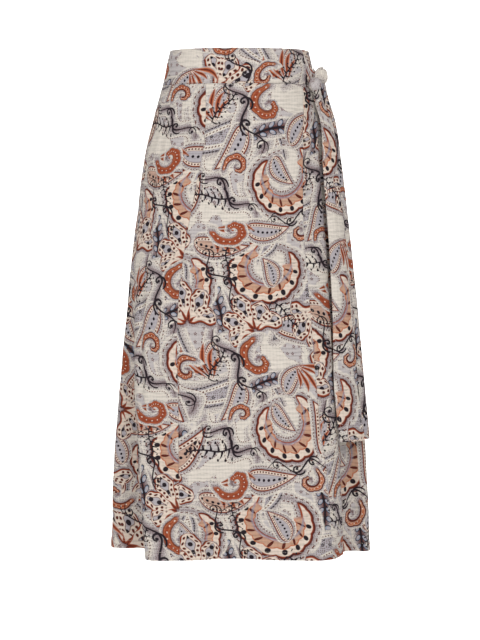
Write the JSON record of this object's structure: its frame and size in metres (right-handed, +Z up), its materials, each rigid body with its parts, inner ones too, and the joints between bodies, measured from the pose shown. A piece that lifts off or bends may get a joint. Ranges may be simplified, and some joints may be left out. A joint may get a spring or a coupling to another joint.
{
  "type": "wrap skirt",
  "caption": "Hollow midi wrap skirt in paisley-printed crinkle cloth, with a shaped waistband, a flared fall of soft folds and a tie knotted at one hip.",
  "frame": {"origin": "middle of the waist opening, level with the waistband's top edge", "axes": "+Z up out of the waist, -Y out of the front, +X to the side where the tie is knotted (the wearer's left)"},
  "size_m": [0.4632, 0.3334, 0.8836],
  "materials": {
    "printed_cloth": "matte crinkled cotton-viscose, printed"
  },
  "bodies": {
    "root": {"waistband_over": "printed_cloth", "waistband_back": "printed_cloth", "waistband_under": "printed_cloth", "wrap_side_front": "printed_cloth", "wrap_centre_front": "printed_cloth", "wrap_edge_band": "printed_cloth", "under_front": "printed_cloth", "back": "printed_cloth", "tie_strand_over": "printed_cloth", "tie_strand_side": "printed_cloth", "knot_lower_lobe": "printed_cloth", "knot_upper_lobe": "printed_cloth", "tie_end_front": "printed_cloth", "tie_end_back": "printed_cloth"}
  },
  "joints": []
}
